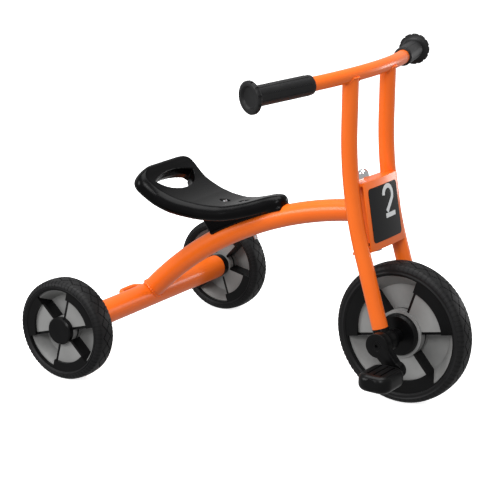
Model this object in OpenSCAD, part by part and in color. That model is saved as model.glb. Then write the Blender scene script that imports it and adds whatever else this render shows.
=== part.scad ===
// Children's pedal tricycle. +X is forwards, +Y is the rider's left, +Z is up, in mm.
// The origin is on the floor, under the middle of the whole tricycle.

/* [Overall] */
// Distance between the rear and the front wheel axes
wheelbase = 488; // [450:1:590]
// Distance between the middles of the two rear tyres
track = 442; // [370:1:540]
// Diameter of the front wheel
front_wheel_d = 224; // [190:1:250]
// Diameter of the rear wheels
rear_wheel_d = 164; // [140:1:200]
// Width of the handlebar tube from end to end
bar_length = 480; // [400:1:560]

/* [Frame] */
// Outside diameter of the bent main tube
main_tube_d = 35; // [30:0.5:42]
// Bend radius of the main tube's centre line
main_bend_r = 640; // [540:1:760]
// Outside diameter of the cross tube that holds the rear axle
axle_tube_d = 40; // [36:0.5:48]
// Outside diameter of the head tube
head_tube_d = 38; // [34:0.5:42]
// Length of the head tube with its two bushes
head_length = 97; // [80:1:116]
// Wall of the frame tubes
frame_wall = 2.5; // [1.5:0.1:3.5]
// Height of the middle of the head tube above the top of the front tyre
head_above_tyre = 68; // [62:1:84]
// How far the steering axis leans back from upright, in degrees
head_lean = 13.3; // [9:0.1:17]
// How far the front axle is ahead of the head tube's middle
head_setback = 67; // [55:1:80]
// How far the main tube's lower end is above the rear axle
main_tube_rise = 4; // [0:0.5:6]

/* [Tow loop] */
// Diameter of the rod of the tow loop
loop_rod_d = 8; // [6:0.5:10]
// Outside width of the tow loop
loop_w = 60; // [44:1:76]
// How far the loop's rod reaches behind the rear axle
loop_reach = 52; // [42:1:66]

/* [Fork] */
// Outside diameter of the two fork legs
leg_d = 25; // [22:0.5:28]
// Distance between the centre lines of the legs
leg_spacing = 112; // [104:1:124]
// Wall of the fork and handlebar tubes
fork_wall = 2; // [1.5:0.1:3]
// Bend radius of the legs' centre lines
leg_bend_r = 650; // [540:1:760]
// Slope of the legs' lower stretch from upright, in degrees
leg_lean = 17.4; // [15:0.1:20]
// How far the upright stretch is behind the front axle
leg_setback = 75; // [64:1:84]
// How far the lower stretch's line passes behind the front axle
leg_trail = 5; // [2:0.5:8]
// How far the cut ends of the legs are above the front axle
leg_end_rise = 20; // [18:0.5:24]
// Thickness of the two steering plates
plate_t = 5; // [4:0.5:7]
// Diameter of the steering bolt
bolt_d = 12; // [10:0.5:14]

/* [Number plate] */
// Thickness of the number plate
number_plate_t = 2; // [1.5:0.1:3]
// Radius of the number plate's curve
number_plate_r = 420; // [340:1:520]
// Half width of the number plate
number_plate_half = 51; // [45:1:56]
// How far the plate's front is ahead of the steering axis, halfway up
number_plate_ahead = 29; // [28:0.5:34]
// Gap between the number plate and the legs
number_plate_gap = 1; // [0.5:0.1:2]
// Width of the label
label_w = 84; // [70:1:96]
// Height of the label
label_h = 84; // [70:1:92]
// Thickness of the label
label_t = 0.6; // [0.4:0.1:1]

/* [Handlebar] */
// Outside diameter of the handlebar
bar_d = 22; // [20:0.5:25]
// Height of the middle of the handlebar above the middle of the head tube
bar_rise = 223; // [185:1:270]
// Bend radius of the handlebar's middle stretch
bar_bend_r = 400; // [330:1:480]
// Sweep of the bar's middle stretch to each side, in degrees
bar_sweep = 19.5; // [15:0.5:23]
// How far the bar's ends droop below its middle, in degrees of tilt
bar_tilt = 10.2; // [7:0.1:13]
// Length of each grip
grip_length = 115; // [95:1:138]
// Diameter of the grips
grip_d = 30; // [27:0.5:34]
// Diameter of the grips' end flanges
grip_flange_d = 50; // [42:0.5:58]
// Thickness of the grips' end flanges
grip_flange_t = 7; // [5:0.5:9]

/* [Wheels] */
// Width of all three tyres
tyre_w = 40; // [34:0.5:46]
// Rounding of the tyres' shoulders
tyre_shoulder_r = 9; // [6:0.5:12]
// Thickness of the front tyre from tread to rim
front_tyre_t = 17; // [14:0.5:20]
// Thickness of the rear tyres from tread to rim
rear_tyre_t = 14; // [12:0.5:17]
// How far the rims' faces are set in from the tyres' faces
rim_inset = 3; // [2:0.5:5]
// Width of the dark ring outside the front wheel's grey panels
front_ring_w = 20.5; // [16:0.5:24]
// Width of the dark ring outside the rear wheels' grey panels
rear_ring_w = 14.5; // [11:0.5:18]
// How far the grey panels are set in from the tyres' faces
panel_inset = 8; // [6:0.5:10]
// Thickness of the grey panels
panel_t = 3; // [2.5:0.1:4]
// Thickness of the six ribs between the panels
rib_t = 4; // [3:0.5:5]
// Clocking of the front wheel's panels at rest, in degrees
front_phase = 41.5; // [0:0.5:120]
// Clocking of the right rear wheel's panels at rest, in degrees
rear_phase_right = 47; // [0:0.5:120]
// Clocking of the left rear wheel's panels at rest, in degrees
rear_phase_left = 19; // [0:0.5:120]

/* [Rear hubs] */
// Diameter of the rear axle rod
axle_d = 12; // [10:0.5:14]
// Outside diameter of the rear hubs
rear_hub_d = 38; // [34:0.5:40]
// How far the rear hubs reach inwards from the middle of the tyre
rear_hub_reach = 22; // [21:0.5:26]
// Outside diameter of the nylon sleeves in the rear hubs
sleeve_d = 20; // [18:0.5:22]
// Diameter of the rear hub caps
hub_cap_d = 44; // [42:0.5:50]

/* [Pedal drive] */
// Diameter of the front axle that carries the cranks
crank_axle_d = 14; // [12:0.5:15]
// Diameter of the dark covers on the front hub
front_cover_d = 66; // [58:0.5:72]
// Diameter of the grey collars round the covers
front_collar_d = 76; // [74:0.5:82]
// Diameter of the front axle's thick middle, inside the wheel
front_axle_d = 20; // [18:0.5:24]
// Outside diameter of the bearing housings at the legs' ends
housing_d = 34; // [30:0.5:38]
// Width of the bearing housings
housing_w = 22; // [18:0.5:25]
// Diameter of the crank's boss
crank_boss_d = 38; // [34:0.5:42]
// Thickness of the cranks
crank_t = 15; // [12:0.5:18]
// Distance from the front axle to the pedal spindles
crank_r = 46.5; // [40:0.5:52]
// How far the right crank points below straight ahead, in degrees
crank_angle = 47; // [30:0.5:60]
// Diameter of the pedal spindles
spindle_d = 9; // [8:0.5:11]
// Length of each pedal, across the tricycle
pedal_length = 66; // [54:1:79]
// Width of each pedal, along the tricycle
pedal_w = 49; // [41:0.5:56]
// Height of each pedal
pedal_h = 24; // [20:0.5:28]
// Corner radius of the pedal's cross section
pedal_corner_r = 8; // [5:0.5:10]

/* [Seat] */
// How far the seat's lowest point is ahead of the rear axle
seat_ahead = 138; // [115:1:165]
// Height of the seat's lowest point above the main tube's centre line
seat_rise = 68; // [62:1:80]
// Radius of the seat's rise behind its lowest point
seat_rear_r = 150; // [130:1:175]
// Radius of the seat's rise ahead of its lowest point
seat_front_r = 280; // [240:1:330]
// Arc of the seat behind its lowest point, in degrees
seat_rear_arc = 46; // [40:1:52]
// Arc of the seat's rise ahead of its lowest point, in degrees
seat_front_arc = 20; // [17:1:23]
// Radius of the seat's rounded drop over the nose
seat_nose_bend_r = 90; // [75:1:110]
// Height of the seat's rim
seat_rim_h = 23; // [19:0.5:28]
// Thickness of the seat's skin
seat_skin = 5; // [4:0.5:6.5]
// Width of the seat at its rear
seat_w = 154; // [132:1:180]
// Radius of the seat's long sides, seen from above
seat_side_r = 600; // [520:1:700]
// Distance from the seat's lowest point to the middle of its rounded nose
seat_nose_ahead = 118; // [104:1:134]
// Radius of the seat's nose, seen from above
seat_nose_r = 16; // [13:0.5:19]
// Width of the seat's keel, which straddles the main tube
seat_keel_w = 38; // [34:0.5:44]
// How far above the main tube's middle the keel's cheeks end
seat_keel_rise = 11; // [8:0.5:13]
// Half width of the hand hole
hand_hole_half = 46; // [38:1:52]
// Depth of the hand hole
hand_hole_depth = 28; // [22:1:32]
// Distance from the seat's lowest point back to the hand hole's rear edge
hand_hole_back = 88; // [84:1:94]
// Diameter of the seat screws
seat_screw_d = 6; // [5:0.5:8]
// Distances of the two seat screws ahead of the lowest point
seat_screw_ahead = [13, 48];

/* [Hidden] */
$fn = 96;
// Clearances
run_gap = 0.06;      // radial clearance of a shaft that turns in its bush
side_gap = 0.8;      // side clearance between turning pieces
saddle_gap = 0.1;    // clearance between the seat and the main tube
past = 1;            // how far a cutting shape reaches past what it cuts

// Places along the tricycle
front_r = front_wheel_d / 2;
rear_r = rear_wheel_d / 2;
overall = rear_r + wheelbase + front_r;
rear_x = rear_r - overall / 2;
front_x = overall / 2 - front_r;

// Steering axis, through the middle of the head tube
head_x = front_x - head_setback;
head_z = front_wheel_d + head_above_tyre;
head_half = head_length / 2;

// Main tube: an arc from above the rear axle to the head tube
main_a = [rear_x, rear_r + main_tube_rise];
main_b = [head_x, head_z + 2];
main_chord = main_b - main_a;
main_half = norm(main_chord) / 2;
main_normal = [main_chord.y, -main_chord.x] / norm(main_chord);
main_c = (main_a + main_b) / 2 + main_normal * sqrt(main_bend_r ^ 2 - main_half ^ 2);
main_a0 = atan2(main_b.y - main_c.y, main_b.x - main_c.x);
main_a1 = atan2(main_a.y - main_c.y, main_a.x - main_c.x);
function tube_z(x) = main_c.y + sqrt(main_bend_r ^ 2 - (x - main_c.x) ^ 2);
function tube_slope(x) = atan2(main_c.x - x, tube_z(x) - main_c.y);

// Wheels, measured from the middle of the tyre
panel_y = tyre_w / 2 - panel_inset;
rim_y = tyre_w / 2 - rim_inset;
web_y = 2;           // half thickness of the web under the panels' sleeves
rim_lip = 2;         // rim left between the widest part of a pocket and the tyre
skirt_t = 2.5;       // thickness of the panels' dished skirts
front_rim_r = front_r - front_tyre_t;
rear_rim_r = rear_r - rear_tyre_t;
front_ring_r = front_rim_r - front_ring_w;
rear_ring_r = rear_rim_r - rear_ring_w;

// Rear axle and its cross tube, measured from the middle of the tricycle
wheel_y = track / 2;
bush_flange_t = 3;
bush_plug = 20;
nut_t = 3;
cap_reach = 10;      // how far the hub caps stand out from the panels
cap_wall = 2.5;
rear_hub_out = panel_y + 1;
axle_tube_half = wheel_y - rear_hub_reach - side_gap - bush_flange_t;
axle_end_y = wheel_y + rear_hub_out + side_gap + nut_t + 1;

// Tow loop
loop_half = (loop_w - loop_rod_d) / 2;
loop_bend = 15;

// Head tube bushes and steering bolt
bush_h = 4;
bush_depth = 14;
bush_float = 0.3;
bolt_head_h = 7;
nut_h = 9;

// Fork legs: straight, bent and straight again in a plane beside the wheel
leg_y = leg_spacing / 2;
leg_x = front_x - leg_setback;
leg_side_y = leg_y - leg_d / 2;
leg_low = (leg_setback - leg_trail - leg_bend_r * (1 - cos(leg_lean))) / sin(leg_lean);
leg_bend_z = front_r + leg_low * cos(leg_lean) + leg_bend_r * sin(leg_lean);

// Handlebar: an arc with straight ends, in a plane that drops towards the ends
bar_x = leg_x + bar_bend_r * (1 - cos(asin(leg_y / bar_bend_r)));
bar_z = head_z + bar_rise;
bar_straight = (bar_length / 2 - bar_bend_r * sin(bar_sweep)) / cos(bar_sweep);
leg_top = bar_z - 4;
grip_cap_t = 5;
seam = 0.001;        // degrees left open where the two halves of a leg's bend meet

// Steering plates, and the number plate on their front edges
plate_back = 22;
plate_weld = 6;      // how far the plates reach over the legs' inner sides
number_plate_lean = 3.3;
number_plate_h = head_length + 2 * plate_t;
label_corner_r = 6;

// Pedal drive, measured outwards from the middle of the front wheel
housing_y0 = leg_y - housing_w / 2;
housing_y1 = leg_y + housing_w / 2;
housing_plug = 20;
collar_over = 3;     // how far the front collars and covers' seats stand past the panels
cover_y = tyre_w / 2 + 3;
cover_neck_d = front_axle_d + 4;
hub_y = housing_y0 - side_gap;
crank_y0 = max(housing_y1, leg_y + leg_d / 2) + side_gap + 1;
crank_y1 = crank_y0 + crank_t;
crank_tip_d = 26;
crank_neck = 10;     // half width of the crank's arm at the boss
crank_screw_d = 8;
crank_screw_depth = 16;
bearing_d = crank_axle_d + 8;
pedal_y0 = crank_y1 + 7;
pedal_y1 = pedal_y0 + pedal_length;
pedal_cap_d = 19;
pedal_cap_t = 2;
spindle_head_t = 3;
spindle_head_d = spindle_d + 5;

// Seat, from its lowest point
seat_x = rear_x + seat_ahead;
seat_z = tube_z(seat_x) + seat_rise;
seat_back = (seat_rear_r + seat_rim_h) * sin(seat_rear_arc);
seat_widest = seat_back - 26;
keel_half = seat_keel_w / 2;
keel_x0 = -14;
keel_x1 = seat_nose_ahead + seat_nose_r - 6;
insert_d = seat_screw_d + 4;
screw_length = seat_rise - main_tube_d / 2 + 10;
screw_head_d = seat_screw_d * 1.7;
screw_head_h = seat_screw_d * 0.6;
hand_hole_r = (hand_hole_half ^ 2 + hand_hole_depth ^ 2) / (2 * hand_hole_depth);
cavity_x0 = 14 + hand_hole_depth - hand_hole_back;
function seat_top_z(x) = seat_z + seat_front_r - sqrt(seat_front_r ^ 2 - x ^ 2);

orange = [0.94, 0.35, 0.1];
black = [0.08, 0.08, 0.09];
rubber = [0.13, 0.13, 0.13];
grey = [0.66, 0.66, 0.65];
steel = [0.75, 0.76, 0.78];

// ---- general shapes ----

// Rod or tube along Z, from z0 to z1
module rod(d, z0, z1, bore = 0) {
    difference() {
        translate([0, 0, z0]) cylinder(d = d, h = z1 - z0);
        if (bore > 0) translate([0, 0, z0 - past]) cylinder(d = bore, h = z1 - z0 + 2 * past);
    }
}

// Rod or tube along Y, from y0 to y1 (y0 < y1)
module cross_rod(d, y0, y1, bore = 0) {
    rotate([-90, 0, 0]) rod(d, y0, y1, bore);
}

// Bent tube in the XZ plane, from angle a0 to a1 about a centre
module arc_tube(c, r, a0, a1, d, bore = 0) {
    translate([c.x, 0, c.y]) rotate([90, 0, 0]) rotate([0, 0, a0])
        rotate_extrude(angle = a1 - a0, $fn = 180) translate([r, 0]) difference() {
            circle(d = d, $fn = 48);
            if (bore > 0) circle(d = bore, $fn = 48);
        }
}

// Child placed with its Z along the steering axis, its origin at the head tube's middle
module along_steering() {
    translate([head_x, 0, head_z]) rotate([0, -head_lean, 0]) children();
}

// Child copied to both sides, or kept on one side: side is -1 for right, 1 for left
module on_side(side) {
    if (side > 0) children();
    else mirror([0, 1, 0]) children();
}

// ---- frame ----

module at_rear_axle() { translate([rear_x, 0, rear_r]) children(); }

// Solid round tube along the main tube's arc
module main_run(d, bore = 0) {
    arc_tube(main_c, main_bend_r, main_a0, main_a1, d, bore);
}

module main_tube() color(orange) difference() {
    main_run(main_tube_d, main_tube_d - 2 * frame_wall);
    at_rear_axle() cross_rod(axle_tube_d, -main_tube_d, main_tube_d);
    along_steering() rod(head_tube_d, -head_half, head_half);
    at_seat_screws() rod(seat_screw_d, -screw_length - past, past);
}

module rear_axle_tube() color(orange) at_rear_axle()
    cross_rod(axle_tube_d, -axle_tube_half, axle_tube_half, axle_tube_d - 2 * frame_wall);

module head_tube() color(orange) along_steering()
    rod(head_tube_d, bush_h - head_half, head_half - bush_h, head_tube_d - 2 * frame_wall);

// U-shaped rod whose two ends are cut to the cross tube's curve
module tow_loop() color(orange) at_rear_axle() difference() {
    union() {
        bend_x = loop_rod_d / 2 + loop_bend - loop_reach;
        for (s = [-1, 1]) on_side(s) {
            translate([bend_x, loop_half, 0]) rotate([0, 90, 0]) rod(loop_rod_d, 0, -bend_x);
            translate([bend_x, loop_half - loop_bend, 0]) rotate([0, 0, 90])
                rotate_extrude(angle = 90) translate([loop_bend, 0])
                    circle(d = loop_rod_d, $fn = 32);
        }
        translate([loop_rod_d / 2 - loop_reach, 0, 0])
            cross_rod(loop_rod_d, loop_bend - loop_half, loop_half - loop_bend);
    }
    cross_rod(axle_tube_d, -loop_w, loop_w);
}

module rear_axle() color(steel) at_rear_axle() cross_rod(axle_d, -axle_end_y, axle_end_y);

// Plastic end bushes of the cross tube: a plug in the tube and a flange against the wheel
module axle_bushes() color(black) at_rear_axle() for (s = [-1, 1]) on_side(s) {
    cross_rod(axle_tube_d - 2 * frame_wall, axle_tube_half - bush_plug,
        axle_tube_half, axle_d);
    cross_rod(axle_tube_d + 1, axle_tube_half, axle_tube_half + bush_flange_t, axle_d);
}

// Push-on nuts that keep the wheels on the axle, inside the hub caps
module axle_nuts() color(steel) at_rear_axle() for (s = [-1, 1]) on_side(s)
    cross_rod(axle_d + 8, axle_end_y - nut_t - 1, axle_end_y - 1, axle_d);

// Flanged bush that centres the steering bolt in the upper end of the head tube
module head_bush() color(black) {
    rod(head_tube_d - 2 * frame_wall, head_half - bush_h - bush_depth, head_half - bush_h,
        bolt_d + 2 * run_gap);
    rod(head_tube_d, head_half - bush_h, head_half - bush_float, bolt_d + 2 * run_gap);
}
module head_bush_upper() along_steering() head_bush();
module head_bush_lower() along_steering() mirror([0, 0, 1]) head_bush();

// ---- seat ----

// Outline from above: two long arcs that draw in to a round nose
module seat_outline(inset = 0) {
    half = seat_w / 2 - inset;
    intersection() {
        translate([-seat_widest, half - seat_side_r]) circle(r = seat_side_r, $fn = 360);
        translate([-seat_widest, seat_side_r - half]) circle(r = seat_side_r, $fn = 360);
        union() {
            translate([seat_nose_ahead, 0]) circle(r = seat_nose_r - inset);
            translate([-seat_back - past, -half])
                square([seat_back + past + seat_nose_ahead, 2 * half]);
        }
    }
}

// Side view of the seat's face at a depth under its top: rear arc, front arc, nose arc
function seat_face(depth, steps = 9) = let (a = seat_front_arc, drop = 12,
        turn = seat_front_r + seat_nose_bend_r, c = [turn * sin(a), seat_front_r - turn * cos(a)])
    concat(
        [for (i = [0:steps]) let (t = seat_rear_arc * (i / steps - 1))
            [(seat_rear_r + depth) * sin(t), seat_rear_r - (seat_rear_r + depth) * cos(t)]],
        [for (i = [1:steps]) let (t = a * i / steps)
            [(seat_front_r + depth) * sin(t), seat_front_r - (seat_front_r + depth) * cos(t)]],
        [for (i = [1:steps]) let (t = a - (a + drop) * i / steps)
            c + (seat_nose_bend_r - depth) * [-sin(t), cos(t)]]);
function reversed(list) = [for (i = [len(list) - 1:-1:0]) list[i]];

// Curved slab of the seat between two depths under its top face
module seat_slab(top, bottom) {
    translate([0, seat_w, 0]) rotate([90, 0, 0]) linear_extrude(2 * seat_w)
        polygon(concat(seat_face(top), reversed(seat_face(bottom))));
}

// Half-moon hole behind the rider, cut square to the seat's slope
module hand_hole() {
    tilt = asin((hand_hole_back - hand_hole_depth / 2) / seat_rear_r);
    translate([0, 0, seat_rear_r]) rotate([0, tilt, 0])
        translate([0, 0, -seat_rear_r - 2 * seat_rim_h])
            linear_extrude(3 * seat_rim_h) intersection() {
                translate([-hand_hole_depth / 2, -hand_hole_half])
                    square([2 * hand_hole_depth, 2 * hand_hole_half]);
                translate([hand_hole_depth / 2 - hand_hole_r, 0]) circle(r = hand_hole_r);
            }
}

// Block under the skin that straddles the main tube
module seat_keel() {
    steps = 8;
    span = keel_x1 - keel_x0;
    translate([0, keel_half, 0]) rotate([90, 0, 0]) linear_extrude(seat_keel_w) polygon(concat(
        [for (i = [0:steps]) let (x = seat_x + keel_x0 + span * i / steps)
            [x, tube_z(x) + seat_keel_rise]],
        [[seat_x + keel_x1, seat_z + seat_rim_h / 3], [seat_x, seat_z - seat_skin / 2],
            [seat_x + keel_x0 - seat_skin, seat_z - seat_skin / 2]]));
}

// Child placed at each seat screw, its Z along the screw and its origin under the head
module at_seat_screws() {
    for (x = seat_screw_ahead) translate([seat_x + x, 0, seat_top_z(x) - screw_head_h - 1])
        rotate([0, -tube_slope(seat_x + x), 0]) children();
}

module seat() color(black) difference() {
    union() {
        translate([seat_x, 0, seat_z]) difference() {
            intersection() {
                translate([0, 0, -seat_rear_r]) linear_extrude(3 * seat_rear_r) seat_outline();
                seat_slab(0, seat_rim_h);
            }
            intersection() {
                translate([cavity_x0, -seat_w, -seat_rear_r])
                    cube([seat_nose_ahead - cavity_x0, 2 * seat_w, 3 * seat_rear_r]);
                translate([0, 0, -seat_rear_r]) linear_extrude(3 * seat_rear_r)
                    seat_outline(seat_skin);
                seat_slab(seat_skin, seat_rim_h + past);
            }
            hand_hole();
        }
        intersection() {
            seat_keel();
            translate([seat_x, 0, 0]) linear_extrude(2 * seat_z) seat_outline();
        }
    }
    main_run(main_tube_d + 2 * saddle_gap);
    at_seat_screws() rod(seat_screw_d, -screw_length, past);
    at_seat_screws() rod(screw_head_d + 2, 0, seat_rise);
}

// Socket screws through the seat's keel into threaded inserts in the main tube
module seat_screws() color(steel) at_seat_screws() {
    rod(seat_screw_d, -screw_length, 0);
    difference() {
        rod(screw_head_d, 0, screw_head_h);
        translate([0, 0, screw_head_h / 2])
            cylinder(d = seat_screw_d * 0.9, h = screw_head_h, $fn = 6);
    }
}

module seat_inserts() color(steel) intersection() {
    at_seat_screws() rod(insert_d, -screw_length, 0, seat_screw_d);
    main_run(main_tube_d - 2 * frame_wall);
}

// ---- fork ----

// Bent stretch of a leg in the plane y = 0; extra lengthens it downwards, in degrees
module leg_bend(d, bore = 0, extra = 0) {
    arc_tube([leg_x + leg_bend_r, leg_bend_z], leg_bend_r, 180, 180 + leg_lean + extra, d, bore);
}

// Both legs' bends as solid bars, to cut what meets the legs between their ends
module leg_bends(d) {
    for (s = [-1, 1]) translate([0, s * leg_y, 0]) leg_bend(d, 0, 2);
}

// The legs' straight stretch below their bends as solid bars, to cut what comes down as far as that
module leg_straights(d) {
    for (s = [-1, 1]) translate([leg_x + leg_bend_r * (1 - cos(leg_lean)), s * leg_y,
            leg_bend_z - leg_bend_r * sin(leg_lean)])
        rotate([0, -leg_lean, 0]) rod(d, -head_length, 0);
}

// Bent middle stretch of the handlebar
module bar_bend(d, bore = 0) {
    translate([-bar_bend_r, 0, 0]) rotate([0, 0, -bar_sweep])
        rotate_extrude(angle = 2 * bar_sweep, $fn = 180) translate([bar_bend_r, 0]) difference() {
            circle(d = d, $fn = 48);
            if (bore > 0) circle(d = bore, $fn = 48);
        }
}

// Child in the handlebar's own plane, its origin at the bar's middle
module at_bar() { translate([bar_x, 0, bar_z]) rotate([0, -bar_tilt, 0]) children(); }

// Child placed where the bar's left straight begins, its Y along the bar
module at_bar_straight() {
    translate([bar_bend_r * (cos(bar_sweep) - 1), bar_bend_r * sin(bar_sweep), 0])
        rotate([0, 0, bar_sweep]) children();
}

// Lower or upper half of a leg: straight tube below z = 0 and half the bend above it
module half_leg(length, bore) {
    rod(leg_d, -length, 0, bore);
    rotate([90, 0, 0]) translate([-leg_bend_r, 0, 0])
        rotate_extrude(angle = leg_lean / 2 - seam, $fn = 180) translate([leg_bend_r, 0]) difference() {
            circle(d = leg_d, $fn = 48);
            circle(d = bore, $fn = 48);
        }
}

module fork_leg(side) color(orange) translate([0, side * leg_y, 0]) {
    bore = leg_d - 2 * fork_wall;
    translate([front_x - leg_trail - leg_low * sin(leg_lean), 0, front_r + leg_low * cos(leg_lean)])
        rotate([0, -leg_lean, 0]) mirror([1, 0, 0]) half_leg(leg_low - leg_end_rise, bore);
    difference() {
        translate([leg_x, 0, leg_bend_z]) rotate([180, 0, 0]) mirror([1, 0, 0])
            half_leg(leg_top - leg_bend_z, bore);
        translate([0, -side * leg_y, 0]) at_bar() bar_bend(bar_d);
    }
}
module fork_leg_right() fork_leg(-1);
module fork_leg_left() fork_leg(1);

module handlebar() color(orange) at_bar() {
    bore = bar_d - 2 * fork_wall;
    bar_bend(bar_d, bore);
    for (s = [-1, 1]) on_side(s) at_bar_straight() cross_rod(bar_d, 0, bar_straight, bore);
}

// Rubber grip: sleeve on the bar, end cap with a wide flange and a tapered inner end
module grip(side) color(rubber) at_bar() on_side(side) at_bar_straight()
    translate([0, bar_straight, 0]) rotate([-90, 0, 0]) difference() {
        flange_r = grip_flange_d / 2;
        back = grip_cap_t - grip_flange_t;
        rotate_extrude() polygon([[0, grip_cap_t], [flange_r - 4, grip_cap_t],
            [flange_r, grip_cap_t - 2], [flange_r, back + 2], [grip_d / 2 + 4, back],
            [grip_d / 2, back - 5], [grip_d / 2, 4 - grip_length],
            [grip_d / 2 - 1.5, -grip_length], [0, -grip_length]]);
        rod(bar_d, -grip_length - past, 0);
    }
module grip_right() grip(-1);
module grip_left() grip(1);

// Steel plate across the fork, square to the steering axis and coped to the legs
module steering_plate(z0) color(orange) difference() {
    along_steering() difference() {
        translate([0, 0, z0]) linear_extrude(plate_t) {
            translate([-plate_back, -leg_side_y - plate_weld])
                square([plate_back + number_plate_ahead + plate_weld,
                    2 * (leg_side_y + plate_weld)]);
            translate([leg_d / 2, -number_plate_half])
                square([number_plate_ahead, 2 * number_plate_half]);
        }
        rod(bolt_d, z0 - past, z0 + plate_t + past);
    }
    number_plate_slab(-number_plate_t, leg_d * 3);
    leg_bends(leg_d);
    leg_straights(leg_d);
}
module steering_plate_upper() steering_plate(head_half);
module steering_plate_lower() steering_plate(-head_half - plate_t);

// Curved slab between two distances ahead of the number plate's front face
module number_plate_slab(from, to) {
    along_steering() rotate([0, number_plate_lean, 0])
        translate([number_plate_ahead - number_plate_r, 0, 0]) intersection() {
            rod(2 * (number_plate_r + to), -head_length, head_length,
                2 * (number_plate_r + from), $fn = 360);
            translate([number_plate_r / 2, -number_plate_r, -head_length])
                cube([number_plate_r, 2 * number_plate_r, 2 * head_length]);
        }
}

module number_plate() color(orange) difference() {
    intersection() {
        number_plate_slab(-number_plate_t, 0);
        along_steering() translate([0, -number_plate_half, -number_plate_h / 2])
            cube([2 * head_tube_d, 2 * number_plate_half, number_plate_h]);
    }
    leg_bends(leg_d + 2 * number_plate_gap);
}

// Label with rounded corners on the front of the number plate
module number_label() color(black) intersection() {
    number_plate_slab(0, label_t);
    r = label_corner_r;
    along_steering() rotate([0, 90, 0]) linear_extrude(2 * head_tube_d) {
        square([label_h, label_w - 2 * r], center = true);
        square([label_h - 2 * r, label_w], center = true);
        for (x = [-1, 1], y = [-1, 1])
            translate([x * (label_h / 2 - r), y * (label_w / 2 - r)]) circle(r = r);
    }
}

// Bolt from below through both plates; its dome nut is on the upper plate
module steering_bolt() color(steel) along_steering() {
    rod(bolt_d, -head_half - plate_t, head_half + plate_t + nut_h - 2);
    translate([0, 0, -head_half - plate_t - bolt_head_h])
        cylinder(d = bolt_d * 1.6, h = bolt_head_h, $fn = 6);
}

module steering_nut() color(steel) along_steering() difference() {
    union() {
        translate([0, 0, head_half + plate_t]) cylinder(d = bolt_d * 1.6, h = nut_h, $fn = 6);
        translate([0, 0, head_half + plate_t + nut_h - 2]) intersection() {
            sphere(d = bolt_d * 1.4);
            translate([-bolt_d, -bolt_d, 0]) cube(2 * bolt_d);
        }
    }
    rod(bolt_d, head_half, head_half + plate_t + nut_h - 2);
}

// ---- front axle and cranks ----

module at_front_axle() { translate([front_x, 0, front_r]) children(); }

// Bearing housing under the end of a leg, with a plug up into the leg
module housing(side) color(black) on_side(side) difference() {
    union() {
        at_front_axle() cross_rod(housing_d, housing_y0, housing_y1);
        translate([front_x - leg_trail, leg_y, front_r]) rotate([0, -leg_lean, 0]) {
            rod(leg_d - 2 * fork_wall, leg_end_rise - past, leg_end_rise + housing_plug);
            intersection() {
                rod(leg_d, 0, leg_end_rise);
                translate([-leg_d, -housing_w / 2, 0]) cube([2 * leg_d, housing_w, 2 * leg_d]);
            }
        }
    }
    at_front_axle() cross_rod(bearing_d, housing_y0 - past, housing_y1 + past);
}
module housing_right() housing(-1);
module housing_left() housing(1);

// Sleeve bearing that the front axle turns in
module bearing(side) color(steel) on_side(side) at_front_axle()
    cross_rod(bearing_d, housing_y0, housing_y1, crank_axle_d + 2 * run_gap);
module bearing_right() bearing(-1);
module bearing_left() bearing(1);

// Stepped axle through the wheel, drilled at both ends for the crank screws
module crank_axle() color(steel) at_front_axle() difference() {
    union() {
        cross_rod(front_axle_d, -hub_y, hub_y);
        cross_rod(crank_axle_d, -crank_y1 + 5, crank_y1 - 5);
    }
    for (s = [-1, 1]) on_side(s)
        cross_rod(crank_screw_d, crank_y1 - 5 - crank_screw_depth, crank_y1);
}

module crank_screws() color(steel) at_front_axle() for (s = [-1, 1]) on_side(s) {
    cross_rod(crank_screw_d, crank_y1 - 5 - crank_screw_depth, crank_y1 - 5);
    difference() {
        cross_rod(crank_axle_d, crank_y1 - 5, crank_y1);
        rotate([-90, 0, 0]) translate([0, 0, crank_y1 - 3])
            cylinder(d = crank_screw_d * 0.8, h = 3, $fn = 6);
    }
}

// Child turned to a crank: its X runs out along the crank, its Y stays outwards
module at_crank(side) {
    at_front_axle() rotate([0, side < 0 ? crank_angle : crank_angle + 180, 0])
        on_side(side) children();
}

module crank(side) color(black) at_crank(side) difference() {
    rotate([-90, 0, 0]) translate([0, 0, crank_y0]) linear_extrude(crank_t) {
        circle(d = crank_boss_d);
        translate([crank_r, 0]) circle(d = crank_tip_d);
        polygon([[0, -crank_neck - 3], [crank_r, -crank_neck], [crank_r, crank_neck],
            [0, crank_neck + 3]]);
    }
    cross_rod(crank_axle_d, crank_y0 - past, crank_y1 + past);
    translate([crank_r, 0, 0]) cross_rod(spindle_d, crank_y0 + 3, crank_y1 + past);
}
module crank_right() crank(-1);
module crank_left() crank(1);

// ---- pedals ----

// Child placed at a pedal's spindle, level with the floor whatever the crank's angle
module at_pedal(side) {
    a = side < 0 ? crank_angle : crank_angle + 180;
    translate([crank_r * cos(a), 0, -crank_r * sin(a)]) at_front_axle() on_side(side) children();
}

pedal_bore_d = spindle_d + 2 * run_gap;
pedal_recess = pedal_cap_t + spindle_head_t + side_gap;

module spindle(side) color(steel) at_pedal(side) {
    cross_rod(spindle_d, crank_y0 + 3, pedal_y1 - pedal_recess + side_gap / 2);
    cross_rod(spindle_head_d, pedal_y1 - pedal_recess + side_gap / 2,
        pedal_y1 - pedal_cap_t - side_gap / 2);
}
module spindle_right() spindle(-1);
module spindle_left() spindle(1);

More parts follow.
